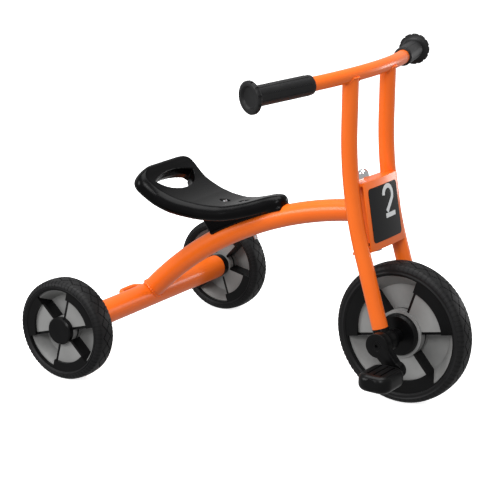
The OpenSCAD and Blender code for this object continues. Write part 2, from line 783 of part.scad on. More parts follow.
// Rounded rubber block with a bore for the spindle and a recess for its head
module pedal(side) color(rubber) at_pedal(side) difference() {
    rotate([-90, 0, 0]) translate([0, 0, pedal_y0]) linear_extrude(pedal_length) {
        square([pedal_w - 2 * pedal_corner_r, pedal_h], center = true);
        square([pedal_w, pedal_h - 2 * pedal_corner_r], center = true);
        for (x = [-1, 1], z = [-1, 1]) translate([x * (pedal_w / 2 - pedal_corner_r),
            z * (pedal_h / 2 - pedal_corner_r)]) circle(r = pedal_corner_r);
    }
    cross_rod(pedal_bore_d, pedal_y0 - past, pedal_y1);
    cross_rod(pedal_cap_d, pedal_y1 - pedal_recess, pedal_y1 + past);
}
module pedal_right() pedal(-1);
module pedal_left() pedal(1);

module pedal_cap(side) color(black) at_pedal(side)
    cross_rod(pedal_cap_d, pedal_y1 - pedal_cap_t, pedal_y1);
module pedal_cap_right() pedal_cap(-1);
module pedal_cap_left() pedal_cap(1);

// ---- wheels, each built round the Y axis at the origin ----

// Child profile of radius and Y, turned round the wheel's axis
module turned() { rotate([-90, 0, 0]) rotate_extrude($fn = 180) children(); }

module tyre(r, rim_r) color(rubber) turned() {
    half = tyre_w / 2;
    s = tyre_shoulder_r;
    translate([rim_r, -half]) square([r - s - rim_r, tyre_w]);
    translate([rim_r, s - half]) square([r - rim_r, tyre_w - 2 * s]);
    intersection() {
        for (y = [-1, 1]) translate([r - s, y * (half - s)]) circle(r = s, $fn = 64);
        translate([r - s, -half]) square([s, tyre_w]);
    }
}

// Sixth of a turn about the wheel's axis, less half a rib on each side
module sixth(mid, r) {
    reach = 2 * r;
    rotate([-90, 0, 0]) rotate([0, 0, -mid]) translate([rib_t, 0, -tyre_w])
        linear_extrude(2 * tyre_w) polygon([[0, 0], [reach * cos(30), -reach / 2],
            [reach * cos(30), reach / 2]]);
}

// Dark moulded rim: ring, hub and six ribs; a pocket widens away from each panel
module rim(rim_r, ring_r, hub_r, core_r, hub_in, hub_out, bore, phase) color(black) {
    difference() {
        union() {
            cross_rod(2 * rim_r, -rim_y, rim_y);
            cross_rod(2 * core_r, -hub_in, hub_out);
        }
        for (k = [0:5]) intersection() {
            sixth(phase + 60 * k, rim_r);
            turned() scale([1, k % 2 == 0 ? 1 : -1]) polygon([[hub_r, -tyre_w],
                [rim_r - rim_lip, -tyre_w], [rim_r - rim_lip, -panel_y],
                [ring_r + 2, panel_y - panel_t], [ring_r, panel_y - panel_t],
                [ring_r, tyre_w], [hub_r, tyre_w]]);
        }
        for (s = [-1, 1]) on_side(s) {
            cross_rod(2 * ring_r, panel_y, tyre_w, 2 * core_r);
            cross_rod(2 * hub_r, web_y, tyre_w, 2 * core_r);
        }
        cross_rod(2 * core_r, -tyre_w, -hub_in);
        cross_rod(2 * core_r, hub_out, tyre_w);
        cross_rod(bore, -hub_in - past, hub_out + past);
    }
}

// Grey trim of one side: a sleeve round the hub and three panels with dished skirts
module panels(out, over, rim_r, ring_r, hub_r, core_r, phase) color(grey) {
    first = out > 0 ? 0 : 60;
    on_side(out) {
        cross_rod(2 * hub_r, web_y, panel_y + over, 2 * core_r);
        for (k = [0:2]) intersection() {
            sixth(phase + first + 120 * k, rim_r);
            turned() polygon([[hub_r, panel_y], [ring_r, panel_y], [ring_r, panel_y - panel_t],
                [ring_r + 2, panel_y - panel_t], [rim_r - rim_lip, -panel_y],
                [rim_r - rim_lip - skirt_t, -panel_y],
                [ring_r + 2 - skirt_t, panel_y - panel_t], [hub_r, panel_y - panel_t]]);
        }
    }
}

// Front wheel: built with its right side as the first one, so it is mirrored as a whole
module at_front_wheel() { at_front_axle() on_side(-1) children(); }
core_front_r = front_cover_d / 2 + 0.5;

module front_tyre() at_front_wheel() tyre(front_r, front_rim_r);
module front_rim() at_front_wheel() rim(front_rim_r, front_ring_r, front_collar_d / 2,
    core_front_r, panel_y + collar_over, panel_y + collar_over, front_axle_d, front_phase);
module front_panels_right() at_front_wheel() panels(1, collar_over, front_rim_r, front_ring_r,
    front_collar_d / 2, core_front_r, front_phase);
module front_panels_left() at_front_wheel() panels(-1, collar_over, front_rim_r, front_ring_r,
    front_collar_d / 2, core_front_r, front_phase);

// Domed cover over the front hub, with a neck that fills the gap to the bearing housing
module front_cover(side) color(black) at_front_axle() on_side(side) turned() {
    r = front_cover_d / 2;
    polygon([[front_axle_d / 2, panel_y + collar_over], [r, panel_y + collar_over],
        [r, cover_y - 3], [r - 3, cover_y], [cover_neck_d / 2, cover_y + 1],
        [cover_neck_d / 2, hub_y], [front_axle_d / 2, hub_y]]);
}
module front_cover_right() front_cover(-1);
module front_cover_left() front_cover(1);

// Rear wheels: built as the left one and mirrored for the right one
module at_rear_wheel(side) { at_rear_axle() on_side(side) translate([0, wheel_y, 0]) children(); }
function rear_phase(side) = side < 0 ? rear_phase_right : rear_phase_left;

module rear_tyre(side) at_rear_wheel(side) tyre(rear_r, rear_rim_r);
module rear_rim(side) at_rear_wheel(side) rim(rear_rim_r, rear_ring_r, hub_cap_d / 2,
    rear_hub_d / 2, rear_hub_reach, rear_hub_out, sleeve_d, rear_phase(side));
module rear_panels(side, out) at_rear_wheel(side) panels(out, 0, rear_rim_r, rear_ring_r,
    hub_cap_d / 2, rear_hub_d / 2, rear_phase(side));
module rear_sleeve(side) color("ivory") at_rear_wheel(side)
    cross_rod(sleeve_d, -rear_hub_reach, rear_hub_out, axle_d + 2 * run_gap);
module hub_cap(side) color(black) at_rear_wheel(side) turned() {
    r = hub_cap_d / 2;
    top = panel_y + cap_reach;
    polygon([[r, panel_y], [r, top - 2], [r - 2, top], [0, top], [0, top - cap_wall],
        [r - cap_wall, top - cap_wall], [r - cap_wall, panel_y]]);
}

module rear_tyre_right() rear_tyre(-1);
module rear_rim_right() rear_rim(-1);
module rear_panels_out_right() rear_panels(-1, 1);
module rear_panels_in_right() rear_panels(-1, -1);
module rear_sleeve_right() rear_sleeve(-1);
module hub_cap_right() hub_cap(-1);
module rear_tyre_left() rear_tyre(1);
module rear_rim_left() rear_rim(1);
module rear_panels_out_left() rear_panels(1, 1);
module rear_panels_in_left() rear_panels(1, -1);
module rear_sleeve_left() rear_sleeve(1);
module hub_cap_left() hub_cap(1);

main_tube();
rear_axle_tube();
head_tube();
tow_loop();
rear_axle();
axle_bushes();
axle_nuts();
head_bush_upper();
head_bush_lower();
seat();
seat_screws();
seat_inserts();
fork_leg_right();
fork_leg_left();
handlebar();
steering_plate_upper();
steering_plate_lower();
number_plate();
number_label();
steering_bolt();
steering_nut();
grip_right();
grip_left();
housing_right();
housing_left();
bearing_right();
bearing_left();
front_tyre();
front_rim();
front_panels_right();
front_panels_left();
front_cover_right();
front_cover_left();
crank_axle();
crank_right();
crank_left();
crank_screws();
spindle_right();
spindle_left();
pedal_right();
pedal_left();
pedal_cap_right();
pedal_cap_left();
rear_tyre_right();
rear_rim_right();
rear_panels_out_right();
rear_panels_in_right();
rear_sleeve_right();
hub_cap_right();
rear_tyre_left();
rear_rim_left();
rear_panels_out_left();
rear_panels_in_left();
rear_sleeve_left();
hub_cap_left();
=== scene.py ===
import math
import bpy
from mathutils import Matrix, Vector


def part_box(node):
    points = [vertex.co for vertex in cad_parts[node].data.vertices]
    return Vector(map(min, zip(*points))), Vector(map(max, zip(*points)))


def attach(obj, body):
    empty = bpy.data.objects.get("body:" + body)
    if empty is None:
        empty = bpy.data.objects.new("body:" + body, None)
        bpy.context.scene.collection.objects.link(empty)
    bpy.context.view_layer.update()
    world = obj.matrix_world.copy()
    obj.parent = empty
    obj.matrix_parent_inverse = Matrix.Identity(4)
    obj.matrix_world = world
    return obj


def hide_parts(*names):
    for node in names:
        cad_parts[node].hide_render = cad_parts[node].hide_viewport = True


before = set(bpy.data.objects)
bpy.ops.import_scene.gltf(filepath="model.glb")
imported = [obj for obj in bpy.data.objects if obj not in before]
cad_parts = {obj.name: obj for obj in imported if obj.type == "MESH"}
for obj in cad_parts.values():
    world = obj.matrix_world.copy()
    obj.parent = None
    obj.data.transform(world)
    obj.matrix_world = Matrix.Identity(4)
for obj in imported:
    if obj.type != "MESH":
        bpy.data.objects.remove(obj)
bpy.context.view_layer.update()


# Main tube, rear cross tube, head tube and tow loop. Round steel tube, bent, welded and
# powder coated in orange: an even gloss coat with a faint orange peel over it.

def shader_of(name):
    made = bpy.data.materials.new(name)
    made.use_nodes = True
    return made, made.node_tree.nodes, made.node_tree.links, made.node_tree.nodes["Principled BSDF"]


def speckled_colour(nodes, links, shader, scale, dark, light):
    place = nodes.new("ShaderNodeTexCoord")
    grain = nodes.new("ShaderNodeTexNoise")
    grain.inputs["Scale"].default_value = scale
    grain.inputs["Detail"].default_value = 6
    ramp = nodes.new("ShaderNodeValToRGB")
    ramp.color_ramp.elements[0].position, ramp.color_ramp.elements[1].position = 0.3, 0.7
    ramp.color_ramp.elements[0].color, ramp.color_ramp.elements[1].color = (*dark, 1), (*light, 1)
    links.new(place.outputs["Object"], grain.inputs["Vector"])
    links.new(grain.outputs["Fac"], ramp.inputs["Fac"])
    links.new(ramp.outputs["Color"], shader.inputs["Base Color"])
    return place


def bumped(nodes, links, shader, place, scale, height, detail=4):
    pits = nodes.new("ShaderNodeTexNoise")
    pits.inputs["Scale"].default_value = scale
    pits.inputs["Detail"].default_value = detail
    bump = nodes.new("ShaderNodeBump")
    bump.inputs["Strength"].default_value = 1
    bump.inputs["Distance"].default_value = height
    links.new(place.outputs["Object"], pits.inputs["Vector"])
    links.new(pits.outputs["Fac"], bump.inputs["Height"])
    links.new(bump.outputs["Normal"], shader.inputs["Normal"])


def uneven_gloss(nodes, links, shader, place, scale, low, high):
    haze = nodes.new("ShaderNodeTexNoise")
    haze.inputs["Scale"].default_value = scale
    haze.inputs["Detail"].default_value = 5
    span = nodes.new("ShaderNodeMapRange")
    span.inputs["To Min"].default_value, span.inputs["To Max"].default_value = low, high
    links.new(place.outputs["Object"], haze.inputs["Vector"])
    links.new(haze.outputs["Fac"], span.inputs["Value"])
    links.new(span.outputs["Result"], shader.inputs["Roughness"])


powder_coat, nodes, links, shader = shader_of("orange_powder_coat")
place = speckled_colour(nodes, links, shader, 14, (0.80, 0.134, 0.009), (0.84, 0.148, 0.012))
bumped(nodes, links, shader, place, 420, 0.00006)
uneven_gloss(nodes, links, shader, place, 9, 0.26, 0.36)
shader.inputs["Specular IOR Level"].default_value = 0.28
shader.inputs["Coat Weight"].default_value = 0.12
shader.inputs["Coat Roughness"].default_value = 0.10


def finish_of(node, made):
    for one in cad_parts[node].material_slots:
        one.material = made


for node in ("main_tube", "rear_axle_tube", "head_tube", "tow_loop"):
    finish_of(node, powder_coat)


# Weld beads where one tube meets another. Mild steel, laid by hand in overlapping drops and
# powder coated with the frame.

def focus(piece):
    """Selects one object and makes it the active one."""
    bpy.ops.object.select_all(action="DESELECT")
    piece.select_set(True)
    bpy.context.view_layer.objects.active = piece


def alone(name):
    """Names the object that the last operator made, and leaves only that one selected."""
    bpy.ops.object.select_all(action="DESELECT")
    piece = bpy.context.object
    piece.name = name
    piece.data.name = name
    piece.select_set(True)
    return piece


def settle(piece):
    """Moves an object's place, turn and scale into its mesh."""
    focus(piece)
    bpy.ops.object.transform_apply(location=True, rotation=True, scale=True)


def smooth(piece, degrees=40):
    """Smooth shading across every edge flatter than an angle."""
    focus(piece)
    bpy.ops.object.shade_smooth_by_angle(angle=math.radians(degrees))


def outward(piece):
    """Welds doubled points and turns every face outward."""
    focus(piece)
    bpy.ops.object.mode_set(mode="EDIT")
    bpy.ops.mesh.select_all(action="SELECT")
    bpy.ops.mesh.remove_doubles(threshold=0.000005)
    bpy.ops.mesh.normals_make_consistent(inside=False)
    bpy.ops.object.mode_set(mode="OBJECT")


def dress(piece, made, body):
    """Gives a piece its material and the body it rides on."""
    piece.data.materials.clear()
    piece.data.materials.append(made)
    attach(piece, body)


def lay_bead(name, tube_r, onto_r, centre, along, across, body, thick=0.0022, drops=26):
    """A ring of weld round a tube that butts on the side of another, across is that tube's axis."""
    bpy.ops.object.select_all(action="DESELECT")
    bpy.ops.mesh.primitive_torus_add(major_segments=6 * drops, minor_segments=10,
                                     major_radius=tube_r, minor_radius=thick)
    piece = alone(name)
    along, across = Vector(along).normalized(), Vector(across).normalized()
    third = along.cross(across)
    turn = Matrix((across, third, along)).transposed()
    for i, vert in enumerate(piece.data.vertices):
        drop = 0.5 + 0.5 * math.cos(2 * math.pi * (i // 10) / 6)
        ring = Vector((vert.co.x, vert.co.y, 0)).normalized() * tube_r
        vert.co = ring + (vert.co - ring) * (0.8 + 0.28 * drop)
        sag = onto_r - math.sqrt(max(onto_r ** 2 - min(abs(ring.y), onto_r * 0.98) ** 2, 0))
        vert.co.z -= sag
        vert.co = turn @ vert.co + Vector(centre)
    outward(piece)
    smooth(piece, 80)
    dress(piece, powder_coat, body)
    return piece


head_up = Vector((-0.23005, 0, 0.973179))
sideways = Vector((0, 1, 0))
lay_bead("weld_head", 0.0177, 0.019, (0.1432, 0, 0.2925), (-0.996, 0, -0.09),
         head_up.cross(sideways).cross(sideways), "frame")
lay_bead("weld_axle", 0.0177, 0.020, (-0.2462, 0, 0.0998), (0.672, 0, 0.741), (0, 1, 0), "frame")
for side in (-1, 1):
    lay_bead(f"weld_loop_{'left' if side > 0 else 'right'}", 0.0042, 0.020,
             (-0.2785, side * 0.026, 0.082), (-1, 0, 0), (0, 1, 0), "frame", 0.0013, 9)


# Rear axle, its bushes, nuts and hub sleeves, and the steering head's bushes. Zinc plated
# steel rod and turned plastic, pushed into the tube's ends.

zinc, nodes, links, shader = shader_of("zinc_plate")
place = speckled_colour(nodes, links, shader, 60, (0.42, 0.43, 0.45), (0.55, 0.56, 0.58))
uneven_gloss(nodes, links, shader, place, 30, 0.22, 0.42)
shader.inputs["Metallic"].default_value = 1

black_plastic, nodes, links, shader = shader_of("black_moulded_plastic")
place = speckled_colour(nodes, links, shader, 40, (0.0018, 0.0018, 0.002), (0.0032, 0.0032, 0.0034))
bumped(nodes, links, shader, place, 900, 0.00004)
uneven_gloss(nodes, links, shader, place, 25, 0.24, 0.34)
shader.inputs["Specular IOR Level"].default_value = 0.15

for node in ("rear_axle", "axle_nuts", "seat_screws", "seat_inserts", "crank_axle",
             "crank_screws", "spindle_right", "spindle_left", "steering_bolt"):
    finish_of(node, zinc)
for node in ("axle_bushes", "head_bush_upper", "head_bush_lower", "rear_sleeve_right",
             "rear_sleeve_left", "bearing_right", "bearing_left"):
    finish_of(node, black_plastic)


# Wheels: rims in black plastic, their dark pocket walls painted shade, with grey snap-in panels, hub caps
# and a domed cover on the front hub. Injection moulded, so every edge carries a small radius.

grey_plastic, nodes, links, shader = shader_of("grey_moulded_plastic")
place = speckled_colour(nodes, links, shader, 30, (0.205, 0.205, 0.202), (0.245, 0.245, 0.241))
bumped(nodes, links, shader, place, 1100, 0.00004)
uneven_gloss(nodes, links, shader, place, 18, 0.36, 0.46)


def eased_copy(node, made, body, radius, steps=2, angle=32):
    """The part's own shape with its sharp edges eased, as the mould or a file leaves them."""
    bpy.ops.object.select_all(action="DESELECT")
    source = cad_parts[node]
    source.hide_set(False)
    source.select_set(True)
    bpy.context.view_layer.objects.active = source
    bpy.ops.object.duplicate()
    piece = alone(node + "_eased")
    for key in list(piece.keys()):
        del piece[key]
    piece.parent = None
    outward(piece)
    bpy.ops.object.mode_set(mode="EDIT")
    bpy.ops.mesh.select_all(action="SELECT")
    bpy.ops.mesh.dissolve_limited(angle_limit=math.radians(0.6))
    bpy.ops.object.mode_set(mode="OBJECT")
    ease = piece.modifiers.new("eased", "BEVEL")
    ease.width, ease.segments, ease.limit_method = radius, steps, "ANGLE"
    ease.angle_limit = math.radians(angle)
    ease.use_clamp_overlap = True
    ease.miter_outer = "MITER_ARC"
    bpy.ops.object.modifier_apply(modifier="eased")
    smooth(piece, angle)
    dress(piece, made, body)
    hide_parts(node)
    return piece


wheel_sets = (("front_rim", ("front_panels_right", "front_panels_left"), "front_wheel"),
              ("rear_rim_right", ("rear_panels_out_right", "rear_panels_in_right"), "rear_wheel_right"),
              ("rear_rim_left", ("rear_panels_out_left", "rear_panels_in_left"), "rear_wheel_left"))
for rim, panels, body in wheel_sets:
    # the rim moulding and its pocket walls take the black plastic: the dark walls are painted shade on
    # grey moulding
    finish_of(rim, black_plastic)
    for panel in panels:
        finish_of(panel, grey_plastic)
for node in ("hub_cap_right", "hub_cap_left", "front_cover_right", "front_cover_left"):
    finish_of(node, black_plastic)


# Tyres. Solid black rubber, moulded with a lattice of grooves across the tread and fine ribs
# on the shoulders, and pressed on the rims.

tyre_rubber, nodes, links, shader = shader_of("tyre_rubber")
place = speckled_colour(nodes, links, shader, 26, (0.0045, 0.0045, 0.005), (0.0090, 0.0090, 0.0095))
bumped(nodes, links, shader, place, 700, 0.00008)
uneven_gloss(nodes, links, shader, place, 20, 0.42, 0.58)
shader.inputs["Specular IOR Level"].default_value = 0.20


def turned_ring(name, outline, steps, centre):
    """A closed outline of radius and width, turned about an axis that runs across the machine."""
    bpy.ops.object.select_all(action="DESELECT")
    bpy.ops.mesh.primitive_torus_add(major_segments=steps, minor_segments=len(outline),
                                     major_radius=0.1, minor_radius=0.02)
    piece = alone(name)
    count = len(outline)
    for i, vert in enumerate(piece.data.vertices):
        turn, (r, w) = 2 * math.pi * (i // count) / steps, outline[i % count]
        vert.co = Vector(centre) + Vector((r * math.cos(turn), w, r * math.sin(turn)))
    outward(piece)
    return piece


def tyre_outline(outer, inner, half, shoulder, tread_rows, wall_rows):
    """A tyre's closed outline as pairs of radius and width, tread first."""
    points = []
    flat = half - shoulder
    for k in range(tread_rows + 1):
        w = flat - 2 * flat * k / tread_rows
        points.append((outer - 0.0008 * (w / flat) ** 2, w))
    for k in range(1, 6):
        a = math.radians(90 * k / 5)
        points.append((outer - 0.0008 - (shoulder - 0.0008) * (1 - math.cos(a)),
                       -flat - shoulder * math.sin(a)))
    wall = outer - shoulder
    for k in range(1, wall_rows + 1):
        t = k / wall_rows
        points.append((wall + (inner + 0.0025 - wall) * t, -half + 0.0011 * math.sin(math.pi * t)))
    points.append((inner, -half + 0.0025))
    points.append((inner, half - 0.0025))
    mirrored = [(r, -w) for r, w in points[tread_rows + 1:-2]]
    return points[:-1] + [(inner, half - 0.0025)] + mirrored[::-1]


def carve(piece, chosen, depth):
    """Pushes the chosen faces in or out along their normals."""
    focus(piece)
    bpy.ops.object.mode_set(mode="EDIT")
    bpy.ops.mesh.select_mode(type="FACE")
    bpy.ops.mesh.select_all(action="DESELECT")
    bpy.ops.object.mode_set(mode="OBJECT")
    for face in piece.data.polygons:
        face.select = chosen(face)
    bpy.ops.object.mode_set(mode="EDIT")
    bpy.ops.mesh.extrude_region_shrink_fatten(TRANSFORM_OT_shrink_fatten={"value": depth})
    bpy.ops.object.mode_set(mode="OBJECT")


for name, body, radius, inner, place_at, steps in (
        ("front_tyre", "front_wheel", 0.112, 0.095, (0.229, 0, 0.112), 252),
        ("rear_tyre_right", "rear_wheel_right", 0.082, 0.068, (-0.259, -0.221, 0.082), 216),
        ("rear_tyre_left", "rear_wheel_left", 0.082, 0.068, (-0.259, 0.221, 0.082), 216)):
    tyre = turned_ring(name + "_tread", tyre_outline(radius, inner, 0.020, 0.009, 12, 3), steps, place_at)
    hub = Vector(place_at)
    step = 2 * math.pi / steps

    def in_groove(face):
        arm = face.center - hub
        r, w = math.hypot(arm.x, arm.z), arm.y
        if r < radius - 0.0020 or abs(w) > 0.0110:
            return False
        around = int((math.atan2(arm.z, arm.x) + 2 * math.pi) / step)
        row = int((w + 0.011) / (0.022 / 12))
        return (around + row) % 9 == 0 or (around - row) % 9 == 0

    def on_rib(face):
        arm = face.center - hub
        r = math.hypot(arm.x, arm.z)
        around = int((math.atan2(arm.z, arm.x) + 2 * math.pi) / step)
        return radius - 0.0090 < r < radius - 0.0012 and abs(arm.y) > 0.0115 and around % 3 == 0

    carve(tyre, in_groove, -0.0011)
    carve(tyre, on_rib, -0.0006)
    smooth(tyre, 28)
    dress(tyre, tyre_rubber, body)
    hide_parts(name)


# Fork and handlebar. Bent and welded steel tube with two plates across it and a curved number
# plate on their front edges, all powder coated.

for node in ("fork_leg_right", "fork_leg_left", "handlebar"):
    finish_of(node, powder_coat)
for node in ("steering_plate_upper", "steering_plate_lower", "number_plate"):
    plate = eased_copy(node, powder_coat, "fork", 0.0007)
    if node != "number_plate":
        # keeps the plate's rear corners hidden behind the legs
        behind = 0.0925 if node == "steering_plate_upper" else 0.1075
        for vert in plate.data.vertices:
            vert.co.x = max(vert.co.x, (behind + 0.556 * abs(vert.co.y)) / 0.831)
for side, word in ((-1, "right"), (1, "left")):
    lay_bead("weld_leg_" + word, 0.0128, 0.011, (0.15406, side * 0.056, 0.5030), (0, 0, -1),
             (0.14 * -side, 0.99, 0.02 * -side), "fork", 0.0016, 20)


# Label and numeral on the number plate. A black gloss film with rounded corners and a plain
# light grey figure printed on it.

label_film, nodes, links, shader = shader_of("label_film")
place = speckled_colour(nodes, links, shader, 3, (0.0015, 0.0015, 0.002), (0.0025, 0.0025, 0.003))
uneven_gloss(nodes, links, shader, place, 6, 0.10, 0.16)
shader.inputs["Specular IOR Level"].default_value = 0.15
shader.inputs["Coat Weight"].default_value = 0.2
shader.inputs["Coat Roughness"].default_value = 0.06
finish_of("number_label", label_film)

print_grey, nodes, links, shader = shader_of("numeral_print")
place = speckled_colour(nodes, links, shader, 50, (0.52, 0.53, 0.54), (0.60, 0.61, 0.62))
uneven_gloss(nodes, links, shader, place, 40, 0.30, 0.40)

stroke = [(0.0165 * math.cos(math.radians(a)), 0.0165 * math.sin(math.radians(a)))
          for a in range(178, -36, -10)]
stroke += [(-0.0125 + 0.0265 * (1 - t), -0.0345 + 0.0255 * (1 - t)) for t in (0.3, 0.6, 0.9)]
foot = [(-0.0155 + 0.0365 * t, -0.0395) for t in (0, 0.25, 0.5, 0.75, 1)]


def print_strip(name, line, half):
    """A flat strip along a line of points, bent to the number plate's front face."""
    bpy.ops.object.select_all(action="DESELECT")
    bpy.ops.mesh.primitive_grid_add(x_subdivisions=len(line) - 1, y_subdivisions=1, size=1)
    piece = alone(name)
    order = sorted(piece.data.vertices, key=lambda v: (round(v.co.x, 4), v.co.y))
    for k, (a, b) in enumerate(line):
        before, after = line[max(k - 1, 0)], line[min(k + 1, len(line) - 1)]
        run = Vector((after[0] - before[0], after[1] - before[1])).normalized()
        for vert, s in ((order[2 * k], -1), (order[2 * k + 1], 1)):
            across, up = a - s * half * run.y, b + s * half * run.x
            across = 0.8 * across + 0.0104
            up = 0.8 * up + 0.0262
            depth = 0.42 - math.sqrt(0.42 ** 2 - across ** 2)
            vert.co = Vector((0.0294 - depth + 0.0004, across, up))
    lean = math.radians(13.3 - 3.3)
    turn = Matrix.Rotation(-lean, 4, "Y")
    spot = Matrix.Translation((0.162, 0, 0.292))
    for vert in piece.data.vertices:
        vert.co = spot @ turn @ vert.co
    return piece


figure = print_strip("numeral_bow", stroke, 0.0044)
base = print_strip("numeral_foot", foot, 0.0044)
bpy.ops.object.select_all(action="DESELECT")
base.select_set(True)
figure.select_set(True)
bpy.context.view_layer.objects.active = figure
bpy.ops.object.join()
figure = alone("numeral")
film = figure.modifiers.new("film", "SOLIDIFY")
film.thickness, film.offset = 0.0003, 0
bpy.ops.object.modifier_apply(modifier="film")
outward(figure)
dress(figure, print_grey, "fork")


# Domed nut on the steering bolt: chromed steel, screwed down on the upper plate.

chrome, nodes, links, shader = shader_of("chrome")
place = speckled_colour(nodes, links, shader, 80, (0.68, 0.69, 0.71), (0.76, 0.77, 0.79))
uneven_gloss(nodes, links, shader, place, 50, 0.05, 0.12)
shader.inputs["Metallic"].default_value = 1
finish_of("steering_nut", chrome)


# Bearing housings on the fork ends and the cranks: moulded in one with a boss and a tapered
# arm, every edge rounded.

for side in ("right", "left"):
    eased_copy("housing_" + side, black_plastic, "fork", 0.0012)
    eased_copy("crank_" + side, black_plastic, "front_wheel", 0.0022, 3)
finish_of("crank_screws", black_plastic)


# Pedals: solid moulded blocks with a rounded outline and shallow grip grooves on both faces.

def cut_by(piece, cutter, how="DIFFERENCE"):
    """Cuts one solid by another, or joins them, and removes the second."""
    focus(piece)
    cut = piece.modifiers.new("cut", "BOOLEAN")
    cut.operation, cut.solver, cut.object = how, "EXACT", cutter
    bpy.ops.object.modifier_apply(modifier="cut")
    bpy.data.objects.remove(cutter)


swell_x, swell_z = 1.12, 1.14
plan_corner, edge_round = 0.0185, 0.0105
groove_pitch, groove_w, groove_deep = 0.011, 0.0026, 0.0030
for side, word in ((-1, "right"), (1, "left")):
    low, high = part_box("pedal_" + word)
    mid, size = (low + high) / 2, high - low
    bpy.ops.object.select_all(action="DESELECT")
    bpy.ops.mesh.primitive_cube_add(size=1, location=mid,
                                    scale=(size.x * swell_x, size.y - 0.0001, size.z * swell_z))
    block = alone("pedal_block_" + word)
    settle(block)
    bpy.ops.object.mode_set(mode="EDIT")
    bpy.ops.mesh.select_mode(type="EDGE")
    bpy.ops.mesh.select_all(action="DESELECT")
    bpy.ops.object.mode_set(mode="OBJECT")
    for edge in block.data.edges:
        ends = [block.data.vertices[k].co.z for k in edge.vertices]
        edge.select = abs(ends[0] - ends[1]) > size.z / 2
    bpy.ops.object.mode_set(mode="EDIT")
    bpy.ops.mesh.bevel(offset=plan_corner, segments=10, profile=0.5, affect="EDGES")
    bpy.ops.mesh.select_all(action="DESELECT")
    bpy.ops.mesh.edges_select_sharp(sharpness=math.radians(60))
    bpy.ops.mesh.bevel(offset=min(edge_round, size.z * 0.42), segments=7, profile=0.5, affect="EDGES")
    bpy.ops.mesh.select_mode(type="VERT")
    bpy.ops.object.mode_set(mode="OBJECT")
    for row in range(5):
        for face_z in (mid.z - size.z * swell_z / 2, mid.z + size.z * swell_z / 2):
            bpy.ops.object.select_all(action="DESELECT")
            place_at = (mid.x + (row - 2) * groove_pitch, mid.y, face_z)
            bpy.ops.mesh.primitive_cube_add(size=1, location=place_at,
                                            scale=(groove_w, size.y * 0.66, groove_deep))
            groove = alone("pedal_groove")
            settle(groove)
            cut_by(block, groove)
    outward(block)
    smooth(block, 50)
    dress(block, black_plastic, "pedal_" + word)
    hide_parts("pedal_" + word)
    finish_of("pedal_cap_" + word, black_plastic)


# Grips: soft black rubber sleeves with a wide flange, a dished end, a notched rim and a ridge
# along the sleeve, pushed on the handlebar's straight ends.

grip_rubber, nodes, links, shader = shader_of("grip_rubber")
place = speckled_colour(nodes, links, shader, 35, (0.006, 0.006, 0.0065), (0.010, 0.010, 0.0105))
bumped(nodes, links, shader, place, 1400, 0.00006)
uneven_gloss(nodes, links, shader, place, 22, 0.38, 0.52)
shader.inputs["Specular IOR Level"].default_value = 0.22

bar_middle, bar_tilt = (0.157939, 0, 0.515), math.radians(10.2)
bar_sweep, bar_bend_r, bar_straight = math.radians(19.5), 0.4, 0.112956

sleeve = [(0, 0.0006), (0.0120, 0.0006), (0.0150, 0.0012), (0.0168, 0.0036), (0.0182, 0.0048),
          (0.0212, 0.0050), (0.0236, 0.0044), (0.0248, 0.0032), (0.0250, 0.0014),
          (0.0249, -0.0006), (0.0240, -0.0017), (0.0215, -0.0021), (0.0190, -0.0026),
          (0.0168, -0.0044), (0.0155, -0.0070), (0.0150, -0.0100), (0.0150, -0.0400),
          (0.0150, -0.0750), (0.0150, -0.1020), (0.0150, -0.1060), (0.0145, -0.1082),
          (0.0132, -0.1090), (0.0113, -0.1090), (0.0113, -0.0600), (0.0113, -0.0005),
          (0, -0.0005)]
for side, word in ((-1, "right"), (1, "left")):
    grip = turned_ring("grip_sleeve_" + word, sleeve, 96, (0, 0, 0))
    seat_on_bar = (Matrix.Translation(bar_middle) @ Matrix.Rotation(-bar_tilt, 4, "Y")
                   @ Matrix.Diagonal((1, side, 1, 1))
                   @ Matrix.Translation((bar_bend_r * (math.cos(bar_sweep) - 1),
                                         bar_bend_r * math.sin(bar_sweep), 0))
                   @ Matrix.Rotation(bar_sweep, 4, "Z") @ Matrix.Translation((0, bar_straight, 0)))

    def turn_of(face):
        return int((math.degrees(math.atan2(face.center.z, face.center.x)) + 360) / 3.75) % 96

    carve(grip, lambda face: turn_of(face) % 8 < 2 and math.hypot(face.center.x, face.center.z) > 0.0236
          and face.center.y > -0.0015, -0.0014)
    carve(grip, lambda face: turn_of(face) % 12 == 3 and -0.1020 < face.center.y < -0.0100
          and 0.0145 < math.hypot(face.center.x, face.center.z) < 0.0153, 0.0005)
    for vert in grip.data.vertices:
        vert.co = seat_on_bar @ vert.co
    outward(grip)
    smooth(grip, 32)
    dress(grip, grip_rubber, "fork")
    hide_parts("grip_" + word)


# Saddle: one thick moulding of black plastic with a rounded rim, a hand hole behind the rider,
# two slots over its screws and a keel that straddles the main tube.

saddle_skin, nodes, links, shader = shader_of("saddle_plastic")
place = speckled_colour(nodes, links, shader, 30, (0.0010, 0.0010, 0.0012), (0.0018, 0.0018, 0.0020))
bumped(nodes, links, shader, place, 1300, 0.00003)
uneven_gloss(nodes, links, shader, place, 20, 0.20, 0.28)
shader.inputs["Specular IOR Level"].default_value = 0.10


low_x, low_z = -0.121, 0.2688
rear_r, middle_r = 0.150, 0.280


def along_top(s):
    """Point on the saddle's centre line at a length s ahead of its lowest point, and its slope."""
    if s < 0:
        a = s / rear_r
        return low_x + rear_r * math.sin(a), low_z + rear_r * (1 - math.cos(a)), a
    if s < 0.0977:
        a = s / middle_r
        return low_x + middle_r * math.sin(a), low_z + middle_r * (1 - math.cos(a)), a
    a = math.radians(20) - (s - 0.0977) / 0.090
    return 0.0055 - 0.090 * math.sin(a), 0.2011 + 0.090 * math.cos(a), a


